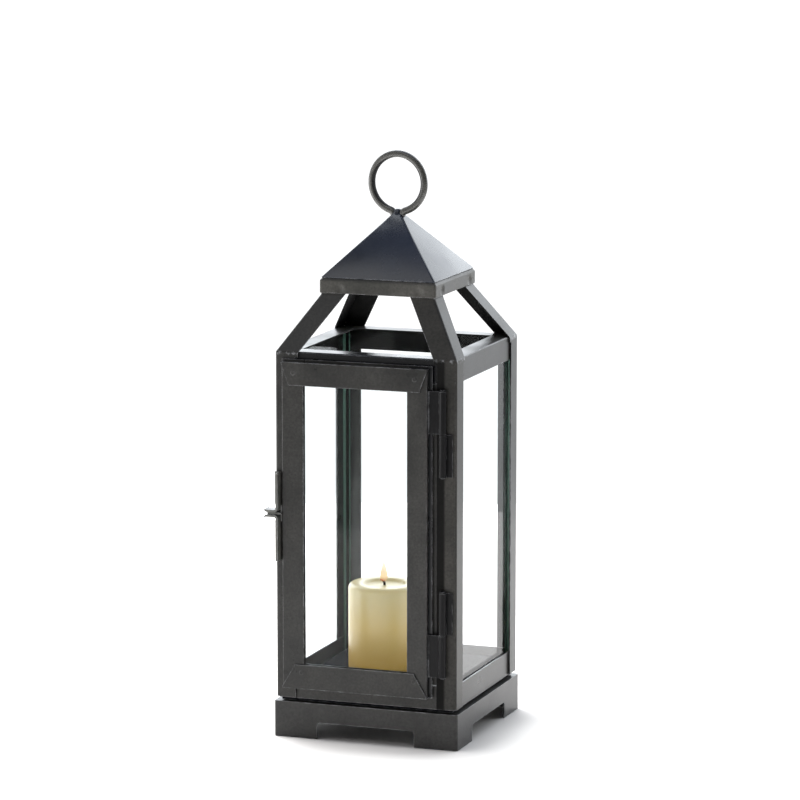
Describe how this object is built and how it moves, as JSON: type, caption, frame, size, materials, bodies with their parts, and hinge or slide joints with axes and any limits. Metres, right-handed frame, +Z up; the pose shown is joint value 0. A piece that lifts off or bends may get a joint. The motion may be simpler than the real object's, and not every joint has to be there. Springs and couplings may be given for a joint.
{
  "type": "candle lantern",
  "caption": "Square sheet-steel candle lantern with glazed sides, a hinged glazed door with a spring catch, a pyramid roof, a ring handle and a pillar candle.",
  "frame": {"origin": "middle of the overall footprint, door and catch included, on the plane the plinth stands on", "axes": "+Z up through the ring handle, -Y towards the door, +X towards the hinge side"},
  "size_m": [0.1261, 0.1292, 0.3684],
  "materials": {
    "painted_steel": "satin charcoal paint",
    "plinth_steel": "satin charcoal paint",
    "roof_steel": "semi-gloss charcoal paint",
    "hinge_steel": "satin charcoal paint",
    "glass": "clear window glass with a green edge",
    "wax": "smooth ivory wax",
    "wick": "burnt cotton",
    "tinned_steel": "bright tinplate"
  },
  "bodies": {
    "frame": {"base_plinth": "plinth_steel", "floor_pan": "plinth_steel", "corner_post_front_left": "painted_steel", "corner_post_front_right": "painted_steel", "corner_post_rear_right": "painted_steel", "corner_post_rear_left": "painted_steel", "top_band_front": "painted_steel", "top_band_right": "painted_steel", "top_band_rear": "painted_steel", "top_band_left": "painted_steel", "bottom_band_front": "painted_steel", "bottom_band_right": "painted_steel", "bottom_band_rear": "painted_steel", "bottom_band_left": "painted_steel", "pane_right": "glass", "pane_rear": "glass", "pane_left": "glass", "roof_cap": "roof_steel", "ring_handle": "hinge_steel", "hinge_upper_post_half": "hinge_steel", "hinge_upper_pin": "hinge_steel", "hinge_lower_post_half": "hinge_steel", "hinge_lower_pin": "hinge_steel", "catch_spring_upper": "hinge_steel", "catch_spring_lower": "hinge_steel", "door_stop_left": "painted_steel", "door_stop_right": "painted_steel"},
    "door": {"door_stile_left": "painted_steel", "door_stile_right": "painted_steel", "door_rail_top": "painted_steel", "door_rail_bottom": "painted_steel", "door_backing_left": "painted_steel", "door_backing_right": "painted_steel", "door_backing_top": "painted_steel", "door_backing_bottom": "painted_steel", "door_pane": "glass", "hinge_upper_door_half": "hinge_steel", "hinge_lower_door_half": "hinge_steel", "latch_tongue": "hinge_steel"},
    "candle": {"candle_wax": "wax", "candle_wick": "wick", "wick_tab": "tinned_steel"}
  },
  "joints": [
    {"name": "door_hinge", "type": "hinge", "parent": "frame", "child": "door", "pos_m": [0.0538, -0.0596, 0.2], "axis": [0, 0, 1], "range_deg": [0, 150]},
    {"name": "candle_lift", "type": "slide", "parent": "frame", "child": "candle", "axis": [0, 0, 1], "range_m": [0, 0.03]}
  ]
}
